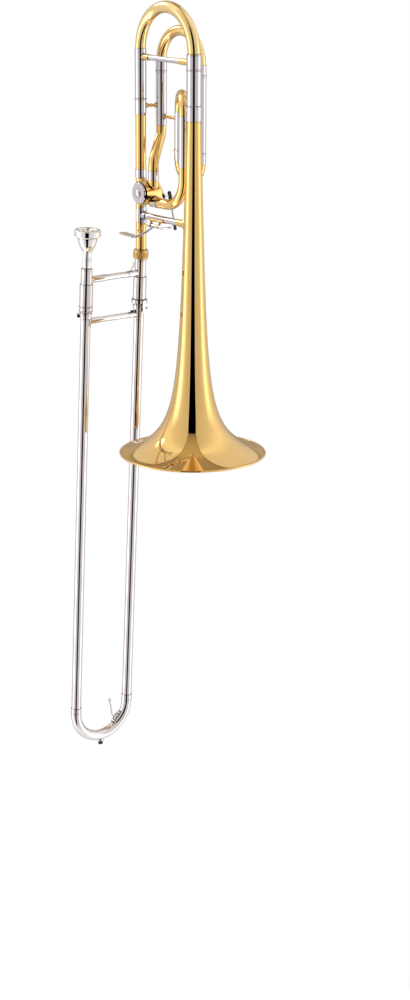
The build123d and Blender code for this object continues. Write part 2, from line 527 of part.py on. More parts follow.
def inner_slide():
    top = BRACE_DROP - RECEIVER_DROP
    body = rod((0, 0, BARREL_TOP), (0, 0, top), NECK_RECEIVER_R) + rod((0, 0, top - 10.5), (0, 0, top), 9.2)
    grip = rod((0, 0, -4), (0, 0, BRACE_DROP - TENON_DROP), 6.4 + FIT, 7.2 + FIT)
    put("neck_receiver", body - grip - rod((0, 0, BARREL_TOP), (0, 0, -3.9), 6.5))

    mouth = rod((0, A_Y, BARREL_TOP), (0, A_Y, RECEIVER_TOP), *RECEIVER_RS)
    mouth += slide_tube(A_Y, RECEIVER_TOP - 2.2, RECEIVER_TOP, 8.6, 6.5)
    mouth -= rod((0, A_Y, BARREL_TOP - 1), (0, A_Y, RECEIVER_TOP + 1), 6.6)
    put("mouthpiece_receiver", mouth)
    taper = RECEIVER_TOP - TAPER
    lead = slide_tube(A_Y, -180, RECEIVER_TOP, 6.5, 5.0)
    lead -= rod((0, A_Y, -180), (0, A_Y, taper), 6.0)
    lead -= rod((0, A_Y, taper), (0, A_Y, RECEIVER_TOP), 5.5, 6.0)
    lead += slide_tube(A_Y, BARREL_TOP + 1, RECEIVER_TOP, 6.6, 6.2)
    put("leadpipe", lead)

    barrels, corks = [], []
    for tag, y in (("mouthpiece", A_Y), ("neck", B_Y)):
        tube = slide_tube(y, INNER_END, BARREL_TOP, INNER_R, 6.5)
        tube += slide_tube(y, INNER_END, INNER_END + 1.0, INNER_R, 6.2)
        put(f"inner_tube_{tag}", tube)
        barrel = slide_tube(y, BARREL_BOTTOM, BARREL_TOP, BARREL_R, 8.3)
        barrel += slide_tube(y, BARREL_TOP - 2.5, BARREL_TOP, BARREL_R + 0.5, INNER_R)
        for z in (BARREL_BOTTOM + 0.6, BARREL_BOTTOM + 7.3):
            barrel += slide_tube(y, z - 0.6, z + 0.6, BARREL_R + 0.8, BARREL_R - 0.5)
        barrels.append(barrel)
        corks.append(slide_tube(y, OUTER_TOP + 0.4, BARREL_TOP - 2.5, 8.3, INNER_R + 0.15))
    put("cork_barrels", Compound(children=barrels))
    put("barrel_corks", Compound(children=corks))

    receiver_cut = rod((0, A_Y, BARREL_TOP), (0, A_Y, RECEIVER_TOP), *RECEIVER_RS)
    a_end, b_end = A_Y + INNER_FEET[0], B_Y - INNER_FEET[1]
    feet = rod((0, A_Y + 4, 0), (0, a_end, 0), 4.9) - receiver_cut
    feet += rod((0, b_end, 0), (0, B_Y - 4, 0), 4.9) - rod((0, 0, BARREL_TOP), (0, 0, 20), NECK_RECEIVER_R)
    put("inner_brace", feet + rod((0, a_end, 0), (0, b_end, 0), 4.4) + brace_hook())


def slide_lock():
    """Turning ring at the foot of the neck-side barrel; its hook goes under the outer slide's stud."""
    bore = BARREL_R + FIT
    ring_z = BARREL_BOTTOM + 1.5
    lock = slide_tube(0, ring_z, ring_z + 4.9, BARREL_R + 1.9, bore)
    finger_x = BARREL_R + 1.95
    lock += Pos(finger_x, 0, ring_z - 4.5) * Box(1.5, 4.5, 17.4)
    lock += Pos(finger_x, 2.2, ring_z - 12.3) * Box(1.5, 6.0, 1.8)
    lock -= rod((0, 0, ring_z - 20), (0, 0, ring_z + 20), bore)
    put("slide_lock", lock)


def brace_hook():
    """Small bent-wire hook on the inner brace beside the neck receiver."""
    points = [(0, -21.0, 3.0), (0, -16.5, 8.0), (0, -12.4, 10.5), (0, -12.4, 17.0)]
    return swept(points, [4, 3], 1.2)


def outer_slide():
    put("outer_brace", outer_brace())
    rings = []
    for tag, y in (("mouthpiece", A_Y), ("neck", B_Y)):
        put(f"outer_tube_{tag}", slide_tube(y, OUTER_END, OUTER_TOP, OUTER_R, OUTER_BORE))
        low, high = BARREL_BOTTOM - 10, BARREL_BOTTOM - 0.5
        top = slide_tube(y, low, high, OUTER_R + 1.2, OUTER_R)
        top += slide_tube(y, high - 4, high - 2, OUTER_R + 2.0, OUTER_R)
        rings.append(top)
    a = math.radians(LOCK_ANGLE)
    out = (math.cos(a), math.sin(a))
    stud = rod((out[0] * 7, out[1] * 7, LOCK_Z), (out[0] * 12.2, out[1] * 12.2, LOCK_Z), 1.6)
    rings[1] += stud - rod((0, 0, -60), (0, 0, -46), OUTER_R + 0.5)
    lug_z = BARREL_BOTTOM - 6.5
    lug = box((-OUTER_R - 5.0, A_Y - 1.3, lug_z - 3.2), (-OUTER_R - 0.6, A_Y + 1.3, lug_z + 1.0))
    lug += box((-OUTER_R - 5.0, A_Y - 1.3, lug_z + 1.0), (-OUTER_R - 3.2, A_Y + 1.3, lug_z + 3.0))
    rings[0] += Pos(0, A_Y, 0) * Rot(0, 0, LUG_ANGLE) * Pos(0, -A_Y, 0) * lug
    return rings


def outer_brace():
    """Brace tube with a socket at each end and a round saddle wrapped on each slide tube."""
    z = OUTER_BRACE_Z
    a_end, b_end = A_Y + OUTER_FEET[0], B_Y - OUTER_FEET[1]
    brace = rod((0, a_end, z), (0, b_end, z), 4.1)
    for y, end in ((A_Y, a_end), (B_Y, b_end)):
        side = math.copysign(1, end - y)
        saddle = slide_tube(y, z - 10, z + 10, OUTER_R + 0.8, OUTER_R)
        saddle &= rod((0, y + side * 2, z), (0, y + side * 12, z), 9.0)
        saddle -= rod((0, y, BARREL_BOTTOM - 10.1), (0, y, z + 20), OUTER_R + 2.5)
        socket = rod((0, y + side * 3, z), (0, end, z), 4.5) - rod((0, y, z - 20), (0, y, z + 20), OUTER_R)
        brace += saddle + socket
    return brace


def crook_bar():
    """The crook's outside as a solid bar, to fit its fittings to."""
    ends = (0, A_Y, OUTER_END), (0, B_Y, OUTER_END)
    return u_bow(*ends, CROOK_TUBE_R, 0.5, (0, 0, -1))


def crook(rings):
    z = OUTER_END
    put("crook", u_bow((0, A_Y, z), (0, B_Y, z), CROOK_TUBE_R, CROOK_TUBE_R - 0.6, (0, 0, -1)))
    for y in (A_Y, B_Y):
        collar = slide_tube(y, z, z + 9, OUTER_R + 0.7, OUTER_R)
        collar += slide_tube(y, z, z + 1.2, OUTER_R + 1.0, OUTER_R)
        rings.append(collar)
    mid = (A_Y + B_Y) / 2
    low = z - CROOK_R - CROOK_TUBE_R
    seat = rod((0, mid, low - 2.5), (0, mid, low + 4), 5.0) - crook_bar()
    put("outer_ferrules", Compound(children=rings + [seat]))
    foot = rod((0, mid, low - 8.5), (0, mid, low - 2.5), 3.4, 4.2)
    pad_y, pad_z = B_Y - 13.0, OUTER_BRACE_Z + 4.5
    pad = rod((0, pad_y, OUTER_BRACE_Z), (0, pad_y, pad_z + 1.6), 2.4) - rod(
        (0, A_Y, OUTER_BRACE_Z), (0, B_Y, OUTER_BRACE_Z), 4.5)
    put("rubber_bumper", Compound(children=[foot, pad]))


def crook_axes(angle):
    """Tube centre, radial and tangent at an angle round the crook; -90 is its lowest point."""
    t = math.radians(angle)
    radial = Vector(0, math.cos(t), math.sin(t))
    centre = Vector(0, (A_Y + B_Y) / 2, OUTER_END) + radial * CROOK_R
    return centre, radial, Vector(0, -math.sin(t), math.cos(t))


def bar_between(p, q, r):
    return rod(tuple(p), tuple(q), r)


def water_key():
    """Sprung key on the crook's corner: hinge inside the bend, pad round on the outside."""
    centre, radial, tangent = crook_axes(KEY_ANGLE)
    side = Vector(-1, 0, 0)
    hinge = centre - radial * (CROOK_TUBE_R + 4.5)
    tilt = math.radians(KEY_PAD_TILT)
    out = radial * math.cos(tilt) + side * math.sin(tilt)
    bar = crook_bar()

    pin = bar_between(hinge - tangent * 10.5, hinge + tangent * 10.5, 1.1)
    pieces = []
    for sign in (-1, 1):
        foot = hinge + tangent * (sign * 7.6)
        pieces.append(bar_between(foot - radial * 2.2, foot + radial * 8.0, 2.0) - bar - pin)
    nipple = bar_between(centre + out * 4, centre + out * 10.4, 3.2) - bar
    pieces.append(nipple - bar_between(centre, centre + out * 12, 1.6))
    put("key_saddle", Compound(children=pieces))
    put("key_hinge_screw", pin)
    spring_at = hinge + tangent * 5.1
    put("key_spring", ring(tuple(spring_at), tuple(tangent), 1.9, 1.2, 0.7))

    pad_in, pad_out = centre + out * 10.7, centre + out * 13.3
    knees = [hinge, centre - radial * 8.5 + side * 11.0, centre + side * 15.0 + radial * 1.5,
             centre + out * 14.6]
    lever = bar_between(hinge - tangent * 4.6, hinge + tangent * 4.6, 2.2)
    lever += swept([tuple(k) for k in knees], [4, 3], 1.5)
    lever += bar_between(centre + out * 12.4, centre + out * 14.8, 4.4)
    knee = hinge - radial * 9.0
    tip = knee + Vector(0, -4.0, 22.0)
    lever += swept([tuple(hinge), tuple(knee), tuple(tip)], [4], 1.4)
    paddle = Box(6.4, 2.0, 9.0)
    lever += Pos(*tuple(tip)) * Rot(10, 0, 0) * fillet(paddle.edges().filter_by(Axis.Y), 2.4)
    lever -= bar_between(hinge - tangent * 12, hinge + tangent * 12, 1.1 + FIT)
    lever -= bar_between(pad_in, pad_out, 3.9)
    put("key_lever", lever)
    put("key_cork", bar_between(pad_in, pad_out, 3.9))


# ---- mouthpiece -----------------------------------------------------------------------------------
def mouthpiece():
    """Cup, throat and shank as one turned piece; the shank tapers into the receiver."""
    top = MOUTHPIECE_TOP
    insert = 22.0
    low = RECEIVER_TOP - insert
    start = RECEIVER_TOP - TAPER
    slope = (6.0 - 5.5) / TAPER
    shank = lambda z: 5.5 + slope * (z - start) - FIT
    shank_end = top - 47.4
    beads = [(6.55, top - 46.9), (6.55, top - 45.3), (6.1, top - 44.8), (6.1, top - 43.4),
             (6.55, top - 42.9), (6.55, top - 41.9), (6.1, top - 41.4), (6.1, top - 39.0)]
    body = [(6.1, top - 39.0), (6.25, top - 35.5), (7.4, top - 31.0), (10.4, top - 26.1),
            (12.8, top - 20.6), (14.0, top - 15.5), (14.4, top - 11.6)]
    band = [(14.4, top - 11.6), (15.2, top - 10.8), (17.6, top - 10.0), (19.0, top - 8.9),
            (19.25, top - 7.8)]
    rim = [(19.25, top - 2.6), (18.5, top - 0.7), (16.4, top), (13.8, top - 0.8), (12.8, top - 2.6)]
    cup = [(12.5, top - 6.0), (11.2, top - 13.0), (8.2, top - 20.0), (5.2, top - 24.6), (3.6, top - 29.0)]
    bore = [(3.6, top - 34.0), (4.7, low)]
    first = (shank(low), low)
    edges = [Polyline(first, (shank(shank_end), shank_end), *beads), Spline(*body), Spline(*band),
             Line(band[-1], rim[0]), Spline(*rim), Spline(rim[-1], *cup), Polyline(cup[-1], *bore, first)]
    section = make_face(edges)
    solid = revolve(Plane.XZ * section, Axis.Z)
    put("mouthpiece", Pos(0, A_Y, 0) * solid)


bell()
bell_fittings()
neck()
tuning_slide()
valve()
arm_eye = rotor()
stop_plate()
link(arm_eye)
f_attachment()
f_slide()
struts()
hand_brace()
trigger_mount()
thumb_lever()
neck_pipe_end()
lock_nut()
inner_slide()
slide_lock()
crook(outer_slide())
water_key()
mouthpiece()

os.makedirs("parts", exist_ok=True)
for name, shape in nodes.items():
    export_step(shape, f"parts/{name}.step")
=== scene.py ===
"""Looks of a tenor trombone with F attachment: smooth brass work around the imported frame, and its studio."""
import json
import math

import bpy
import numpy as np
from mathutils import Matrix, Vector

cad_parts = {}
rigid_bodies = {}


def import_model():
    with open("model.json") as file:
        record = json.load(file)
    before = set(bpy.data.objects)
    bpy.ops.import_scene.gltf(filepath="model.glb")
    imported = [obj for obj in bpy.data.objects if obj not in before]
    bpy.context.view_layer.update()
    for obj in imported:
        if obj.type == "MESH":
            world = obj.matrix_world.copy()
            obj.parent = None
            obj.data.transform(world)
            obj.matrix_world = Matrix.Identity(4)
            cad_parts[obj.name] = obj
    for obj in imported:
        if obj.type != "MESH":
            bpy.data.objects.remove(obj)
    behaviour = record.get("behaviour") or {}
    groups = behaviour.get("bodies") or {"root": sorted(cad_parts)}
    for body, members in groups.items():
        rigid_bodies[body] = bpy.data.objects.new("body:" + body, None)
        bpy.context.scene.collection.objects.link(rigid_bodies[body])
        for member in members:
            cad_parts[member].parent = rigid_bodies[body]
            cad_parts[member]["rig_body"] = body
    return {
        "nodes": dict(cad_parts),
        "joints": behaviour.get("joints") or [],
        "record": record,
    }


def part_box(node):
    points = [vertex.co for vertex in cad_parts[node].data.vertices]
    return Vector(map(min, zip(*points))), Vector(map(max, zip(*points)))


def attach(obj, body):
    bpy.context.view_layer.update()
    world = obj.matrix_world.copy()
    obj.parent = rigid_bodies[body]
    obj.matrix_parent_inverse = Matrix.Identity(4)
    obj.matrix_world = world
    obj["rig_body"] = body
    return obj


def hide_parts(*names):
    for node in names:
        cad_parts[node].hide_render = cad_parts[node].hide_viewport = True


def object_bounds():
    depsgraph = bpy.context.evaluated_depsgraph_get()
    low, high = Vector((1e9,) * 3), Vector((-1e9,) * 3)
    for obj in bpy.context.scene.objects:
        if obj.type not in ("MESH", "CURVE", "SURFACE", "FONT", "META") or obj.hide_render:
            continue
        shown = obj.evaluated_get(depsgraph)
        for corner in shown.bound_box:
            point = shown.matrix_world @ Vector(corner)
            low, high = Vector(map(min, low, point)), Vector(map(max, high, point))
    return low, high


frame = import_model()
cad_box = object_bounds()
nodes = frame["nodes"]
joints = {j["name"]: j for j in frame["joints"]}
slot_of = {s["node"]: s["material_slot"] for s in frame["record"]["subparts"]}
MM = 0.001
UP = Vector((0, 0, 1))

# ---- camera, in the row frame ---------------------------------------------------------------------
TARGET = Vector((0.1144, -0.0682, -0.0329))
DISTANCE, AZIMUTH, ELEVATION, ROLL = 3.122, 51.16, 16.71, 0.32   # azimuth from -Y towards +X
LENS, SENSOR = 79.2, 36.0
FAR_CLIP = 50


def camera():
    """The scene's camera. Returns the level direction from the object towards it."""
    az, el = math.radians(AZIMUTH), math.radians(ELEVATION)
    back = Vector((math.sin(az) * math.cos(el), -math.cos(az) * math.cos(el), math.sin(el)))
    data = bpy.data.cameras.new("camera")
    data.lens, data.sensor_width, data.sensor_fit = LENS, SENSOR, "AUTO"
    data.clip_end = FAR_CLIP
    obj = bpy.data.objects.new("camera", data)
    turn = back.to_track_quat("Z", "Y").to_matrix().to_4x4()
    obj.matrix_world = Matrix.Translation(TARGET + back * DISTANCE) @ turn @ Matrix.Rotation(
        math.radians(ROLL), 4, "Z")
    bpy.context.scene.collection.objects.link(obj)
    bpy.context.scene.camera = obj
    return Vector((back.x, back.y, 0)).normalized()


# ---- node graph helpers ---------------------------------------------------------------------------
class Graph:
    """A short way to write node trees."""

    def __init__(self, tree):
        self.tree = tree

    def add(self, kind, inputs=None, **props):
        node = self.tree.nodes.new(kind)
        for key, value in props.items():
            setattr(node, key, value)
        for key, value in (inputs or {}).items():
            if isinstance(value, bpy.types.NodeSocket):
                self.tree.links.new(value, node.inputs[key])
            else:
                node.inputs[key].default_value = value
        return node

    def math(self, operation, *values):
        return self.add("ShaderNodeMath", dict(enumerate(values)), operation=operation).outputs[0]

    def ramp(self, value, stops):
        node = self.add("ShaderNodeValToRGB", {0: value})
        elements = node.color_ramp.elements
        elements[0].position, elements[1].position = 0.0, 1.0
        while len(elements) < len(stops):
            elements.new(0.5)
        for element, (place, colour) in zip(elements, sorted(stops)):
            element.position = place
            element.color = (*colour, 1)
        return node.outputs[0]

    def mix(self, factor, a, b, blend="MIX"):
        """A blend of two colours: the node's inputs 6 and 7, and its output 2, are its colour sockets."""
        node = self.add("ShaderNodeMix", data_type="RGBA", blend_type=blend)
        for socket, value in ((node.inputs[0], factor), (node.inputs[6], a), (node.inputs[7], b)):
            if isinstance(value, bpy.types.NodeSocket):
                self.tree.links.new(value, socket)
            else:
                socket.default_value = (*value, 1) if isinstance(value, tuple) else value
        return node.outputs[2]

    def noise(self, vector, scale, detail=3.0, roughness=0.5):
        return self.add("ShaderNodeTexNoise", {"Vector": vector, "Scale": scale, "Detail": detail,
                                               "Roughness": roughness}).outputs["Fac"]

    def span(self, value, low, high, to_low=0.0, to_high=1.0, smooth=False):
        node = self.add("ShaderNodeMapRange", {0: value, 1: low, 2: high, 3: to_low, 4: to_high})
        node.interpolation_type = "SMOOTHSTEP" if smooth else "LINEAR"
        return node.outputs[0]


# ---- studio ---------------------------------------------------------------------------------------
LIGHT_SCALE = 3.0                # strength of the backdrop; its colours hold the levels divided by this
# Widths and heights in the studio are sines of angles, seen from the object.
LOWER_TOP, UPPER_FOOT = -0.04, 0.5    # between these heights the softboxes go from LOWER to UPPER
STRIP_LOW, STRIP_HIGH = 0.285, 0.20   # half width of the strip between the softboxes, low down and overhead
STRIP_SHIFT = -0.03              # its middle, right of the camera positive
STRIP_BLUR = 0.008               # half width of the soft change at its border
SEAM, SEAM_LEVEL = 0.016, 0.72   # half width and darkest level of a seam in the strip, along its border
# brightness of the two side softboxes, by degrees from the camera, right positive: (angle, level)
LOWER = [(-180, 0.30), (-150, 0.56), (-114, 0.80), (-100, 0.86), (-89, 2.60), (-76, 2.50), (-69, 1.30),
         (-60, 0.95), (-48, 0.77), (-32, 0.68), (32, 0.70), (56, 0.77), (68, 0.92), (81, 2.00), (95, 1.70),
         (104, 1.10), (118, 0.87), (140, 0.70), (180, 0.30)]
UPPER = [(-180, 0.80), (-145, 0.84), (-108, 1.12), (-92, 1.06), (-74, 0.88), (-33, 0.76), (16, 0.70),
         (58, 0.81), (77, 0.90), (95, 1.06), (111, 1.12), (141, 0.88), (180, 0.80)]
# and of the strip, by degrees from the camera's horizon up over the top to the horizon behind
STRIP = [(-180, 0.40), (-150, 0.34), (-90, 0.40), (-60, 0.0), (48.5, 0.0), (50.5, 0.30), (60, 0.42),
         (72, 0.54), (90, 0.60), (103, 0.62), (109, 0.44), (128, 0.40), (150, 0.50), (162, 0.56),
         (172, 0.50), (180, 0.40)]
WARM = (1.0, 0.87, 0.66)
# lamps: sizes in m, power in W, angles in degrees
OVERHEAD_PLACE, OVERHEAD_SIZE, OVERHEAD_POWER, OVERHEAD_SPREAD = (0.3, -0.2, 2.4), 1.6, 9.0, 180
BOW_LAMP_TURN, BOW_LAMP_RISE = -122, 30    # from the camera, right positive, and above the horizon
BOW_LAMP_AWAY, BOW_LAMP_SIZE, BOW_LAMP_POWER, BOW_LAMP_SPREAD = 1.3, 0.8, 0.25, 30


def studio(to_camera):
    """Two tall softboxes beside the object; between them a strip, black in front and tan overhead."""
    world = bpy.data.worlds.new("studio")
    bpy.context.scene.world = world
    world.use_nodes = True
    world.node_tree.nodes.clear()
    g = Graph(world.node_tree)
    way = g.add("ShaderNodeTexCoord").outputs["Generated"]
    right = UP.cross(to_camera)

    def dot(axis):
        return g.add("ShaderNodeVectorMath", {0: way, 1: axis}, operation="DOT_PRODUCT").outputs["Value"]

    def ring(value, levels, tint=(1, 1, 1)):
        stops = [((angle + 180) / 360, tuple(level / LIGHT_SCALE * c for c in tint))
                 for angle, level in levels]
        return g.ramp(g.span(value, -math.pi, math.pi), stops)

    side, front, rise = dot(right), dot(to_camera), dot(UP)
    turn = g.math("ARCTAN2", side, front)
    boxes = g.mix(g.span(rise, LOWER_TOP, UPPER_FOOT, smooth=True), ring(turn, LOWER), ring(turn, UPPER))
    between = ring(g.math("ARCTAN2", rise, front), STRIP, WARM)
    level = g.math("COSINE", g.math("ARCSINE", rise))
    edge = g.math("MAXIMUM", g.math("MULTIPLY", level, STRIP_LOW), STRIP_HIGH)
    beyond = g.math("SUBTRACT", g.math("ABSOLUTE", g.math("SUBTRACT", side, STRIP_SHIFT)), edge)
    light = g.mix(g.span(beyond, -STRIP_BLUR, STRIP_BLUR, smooth=True), between, boxes)
    from_seam = g.math("ABSOLUTE", g.math("ADD", beyond, SEAM))
    light = g.mix(1.0, light, g.span(from_seam, 0.0, SEAM, SEAM_LEVEL, 1.0, smooth=True), "MULTIPLY")
    soft = g.add("ShaderNodeBackground", {"Color": light, "Strength": LIGHT_SCALE})
    plain = g.add("ShaderNodeBackground", {"Color": (1, 1, 1, 1), "Strength": 1.0})
    seen = g.add("ShaderNodeLightPath").outputs["Is Camera Ray"]
    both = g.add("ShaderNodeMixShader", {0: seen, 1: soft.outputs[0], 2: plain.outputs[0]})
    g.add("ShaderNodeOutputWorld", {"Surface": both.outputs[0]})

    above = Vector(OVERHEAD_PLACE)
    below = Vector((above.x, above.y, 0))
    overhead = area_lamp("overhead", above, below, OVERHEAD_SIZE, OVERHEAD_POWER, OVERHEAD_SPREAD)
    overhead.visible_glossy = False
    bow = sum(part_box("tuning_bow"), Vector()) / 2
    swing, height = math.radians(BOW_LAMP_TURN), math.radians(BOW_LAMP_RISE)
    aside = to_camera * math.cos(swing) + right * math.sin(swing)
    aim = aside * math.cos(height) + UP * math.sin(height)
    area_lamp("bow_softbox", bow + aim * BOW_LAMP_AWAY, bow, BOW_LAMP_SIZE, BOW_LAMP_POWER, BOW_LAMP_SPREAD)


def area_lamp(name, place, target, size, energy, spread):
    """A round lamp aimed at a target."""
    lamp = bpy.data.lights.new(name, "AREA")
    lamp.shape, lamp.size, lamp.energy, lamp.spread = "DISK", size, energy, math.radians(spread)
    obj = bpy.data.objects.new(name, lamp)
    turn = (place - target).to_track_quat("Z", "Y").to_matrix().to_4x4()
    obj.matrix_world = Matrix.Translation(place) @ turn
    bpy.context.scene.collection.objects.link(obj)
    return obj


FLOOR_HALF, FLOOR_GAP = 0.72, 0.02   # half its side, and its gap below the hand slide at full reach
FADE_START, FADE_END = 0.30, 0.98    # in m from its middle, and as a share of half its side
PAPER_SCALE, PAPER_TONES, PAPER_GLOW = 60, (0.955, 0.985), 0.22
MOST_NOISE = (0.3, 0.7)              # the range that most of a noise texture lies in


def floor():
    """A pale square floor that fades into the backdrop in a circle."""
    mesh = bpy.data.meshes.new("floor")
    half = FLOOR_HALF
    corners = [(-half, -half, 0), (half, -half, 0), (half, half, 0), (-half, half, 0)]
    mesh.from_pydata(corners, [], [(0, 1, 2, 3)])
    obj = bpy.data.objects.new("floor", mesh)
    obj.location.z = cad_box[0][2] - joints["hand_slide"]["range_m"][1] - FLOOR_GAP
    bpy.context.scene.collection.objects.link(obj)
    material, g, place = material_graph("floor")
    away = g.add("ShaderNodeVectorMath", {0: place}, operation="LENGTH").outputs["Value"]
    grain = g.span(g.noise(place, PAPER_SCALE), *MOST_NOISE, *PAPER_TONES)
    paper = g.add("ShaderNodeBsdfDiffuse", {"Color": g.mix(1.0, (1, 1, 1), grain, "MULTIPLY")})
    glow = g.add("ShaderNodeEmission", {"Color": (1, 1, 1, 1), "Strength": PAPER_GLOW})
    lit = g.add("ShaderNodeAddShader", {0: paper.outputs[0], 1: glow.outputs[0]})
    fade = g.span(away, FADE_START, FLOOR_HALF * FADE_END, smooth=True)
    clear = g.add("ShaderNodeBsdfTransparent")
    both = g.add("ShaderNodeMixShader", {0: fade, 1: lit.outputs[0], 2: clear.outputs[0]})
    g.add("ShaderNodeOutputMaterial", {"Surface": both.outputs[0]})
    mesh.materials.append(material)


# ---- materials ------------------------------------------------------------------------------------
# tones of the painted shade in crevices, on brass and on silver
BRASS_CREVICE_SHADE, SILVER_CREVICE_SHADE = (0.16, 0.07, 0.02), (0.20, 0.15, 0.13)
LACQUER, BARE = 0.3, 0.0         # weight of the clear coat
SPUN, DRAWN = (9, 9, 700), (500, 500, 9)   # scale of the polishing lines: round a piece, or along it
# the two tints a metal drifts between, the tone of the painted shade in its crevices, roughness, coat,
# polishing lines
METALS = {
    "bell_brass": ((0.89, 0.575, 0.205), (0.87, 0.555, 0.19), BRASS_CREVICE_SHADE, 0.03, LACQUER, SPUN),
    "lacquered_brass": ((0.91, 0.60, 0.215), (0.89, 0.57, 0.195), BRASS_CREVICE_SHADE, 0.035, LACQUER, DRAWN),
    # a paler copy of the lacquered brass for the bows: a painted highlight
    "bow_brass_painted_highlight": ((0.95, 0.69, 0.31), (0.93, 0.65, 0.27), BRASS_CREVICE_SHADE, 0.035, LACQUER, DRAWN),
    "knurled_brass": ((0.80, 0.50, 0.16), (0.70, 0.41, 0.12), (0.12, 0.06, 0.02), 0.16, LACQUER, SPUN),
    "plain_brass": ((0.72, 0.50, 0.22), (0.62, 0.40, 0.16), BRASS_CREVICE_SHADE, 0.25, BARE, SPUN),
    "nickel_silver": ((0.72, 0.67, 0.705), (0.69, 0.635, 0.67), SILVER_CREVICE_SHADE, 0.04, LACQUER, DRAWN),
    "slide_silver": ((0.80, 0.745, 0.74), (0.77, 0.715, 0.71), SILVER_CREVICE_SHADE, 0.035, LACQUER, DRAWN),
    "silver_plate": ((0.95, 0.94, 0.92), (0.94, 0.92, 0.89), SILVER_CREVICE_SHADE, 0.035, BARE, SPUN),
    "steel": ((0.60, 0.60, 0.61), (0.50, 0.50, 0.51), (0.1, 0.1, 0.1), 0.18, BARE, SPUN),
}
# two tints, roughness, scale and depth of the moulded skin
MOULDED = {
    "black_plastic": ((0.02, 0.02, 0.022), (0.03, 0.03, 0.03), 0.35, 900, 0.05 * MM),
    "rubber": ((0.022, 0.021, 0.021), (0.035, 0.033, 0.032), 0.62, 1500, 0.08 * MM),
}
CREVICE_WIDTH, CREVICE_SPAN = 3.0 * MM, (0.62, 0.96)   # painted shade in crevices: its width, and open sky from full to no painted darkening
DRIFT_SCALE, DRIFT_SPAN = 26, (0.35, 0.65)
SMEAR_SCALE, SMEAR_SPAN, SMEAR_SHARES = 90, (0.3, 0.75), (0.7, 1.35)   # shares of the metal's roughness
LINE_SPAN, LINE_SHARE = (0.2, 0.8), 0.3
LINE_HEIGHT, LINE_STRENGTH = 0.04 * MM, 0.004
COAT_ROUGHNESS = 0.04
MOULDED_GLOSS_SPREAD = 0.08
CORK_PALE, CORK_DEEP, CORK_SPOT = (0.66, 0.45, 0.26), (0.50, 0.31, 0.16), (0.20, 0.11, 0.06)
CORK_CELLS, CORK_SPOTS, CORK_ROUGHNESS, CORK_DEPTH = 1400.0, 900, 0.85, 0.15 * MM


def material_graph(name):
    """An empty material, its graph, and the place on the object."""
    material = bpy.data.materials.new(name)
    material.use_nodes = True
    material.node_tree.nodes.clear()
    g = Graph(material.node_tree)
    return material, g, g.add("ShaderNodeTexCoord").outputs["Object"]


def painted_crevice_shade(g, colour, crevice_shade):
    """Painted shade: darker where surfaces meet, from ambient occlusion; partly it also stands for old polish
    and solder lines.
    """
    hidden = g.add("ShaderNodeAmbientOcclusion", {"Distance": CREVICE_WIDTH}, samples=4)
    return g.mix(g.span(hidden.outputs["AO"], *CREVICE_SPAN), crevice_shade, colour)


def metal(name, light, deep, crevice_shade, roughness, coat, lines):
    """Polished metal: tint drifts over centimetres, fine polishing lines, faint smears in the gloss."""
    material, g, place = material_graph(name)
    drift = g.span(g.noise(place, DRIFT_SCALE, 2), *DRIFT_SPAN)
    tint = g.mix(drift, light, deep)
    # painted shade: the tint darkens where other surfaces are near
    tint = painted_crevice_shade(g, tint, crevice_shade)
    stretched = g.add("ShaderNodeMapping", {"Vector": place, "Scale": lines}).outputs[0]
    hair = g.noise(stretched, 1.0, 2)
    smear = g.noise(place, SMEAR_SCALE, 4, 0.6)
    gloss = g.math("ADD", g.span(smear, *SMEAR_SPAN, *(roughness * share for share in SMEAR_SHARES)),
                   g.span(hair, *LINE_SPAN, 0.0, roughness * LINE_SHARE))
    bump = g.add("ShaderNodeBump", {"Strength": LINE_STRENGTH, "Distance": LINE_HEIGHT, "Height": hair})
    shader = g.add("ShaderNodeBsdfPrincipled", {"Base Color": tint, "Metallic": 1.0, "Roughness": gloss,
                                                "Coat Weight": coat, "Coat Roughness": COAT_ROUGHNESS,
                                                "Normal": bump.outputs[0]})
    g.add("ShaderNodeOutputMaterial", {"Surface": shader.outputs[0]})
    return material


def moulded(name, light, deep, roughness, scale, depth):
    """Plastic or rubber with a moulded skin."""
    material, g, place = material_graph(name)
    grain = g.noise(place, scale, 5, 0.65)
    tint = g.mix(g.span(g.noise(place, scale / 9, 2), *MOST_NOISE), light, deep)
    bump = g.add("ShaderNodeBump", {"Strength": 0.5, "Distance": depth, "Height": grain})
    gloss = g.span(grain, *MOST_NOISE, roughness - MOULDED_GLOSS_SPREAD, roughness + MOULDED_GLOSS_SPREAD)
    shader = g.add("ShaderNodeBsdfPrincipled", {"Base Color": tint, "Normal": bump.outputs[0],
                                                "Roughness": gloss})
    g.add("ShaderNodeOutputMaterial", {"Surface": shader.outputs[0]})
    return material


def cork():
    """Ground cork: pale grains with dark lenticels."""
    material, g, place = material_graph("cork")
    cells = g.add("ShaderNodeTexVoronoi", {"Vector": place, "Scale": CORK_CELLS})
    tint = g.mix(cells.outputs["Color"], CORK_DEEP, CORK_PALE)
    spots = g.span(g.noise(place, CORK_SPOTS, 3), 0.60, 0.68)
    tint = g.mix(spots, tint, CORK_SPOT)
    bump = g.add("ShaderNodeBump", {"Strength": 0.6, "Distance": CORK_DEPTH,
                                    "Height": cells.outputs["Distance"]})
    shader = g.add("ShaderNodeBsdfPrincipled", {"Base Color": tint, "Roughness": CORK_ROUGHNESS,
                                                "Normal": bump.outputs[0]})
    g.add("ShaderNodeOutputMaterial", {"Surface": shader.outputs[0]})
    return material


def all_materials():
    made = {name: metal(name, *look) for name, look in METALS.items()}
    made.update({name: moulded(name, *look) for name, look in MOULDED.items()})
    made["cork"] = cork()
    return made


SLIDE_BODIES = ("inner_slide", "outer_slide", "water_key", "slide_lock")
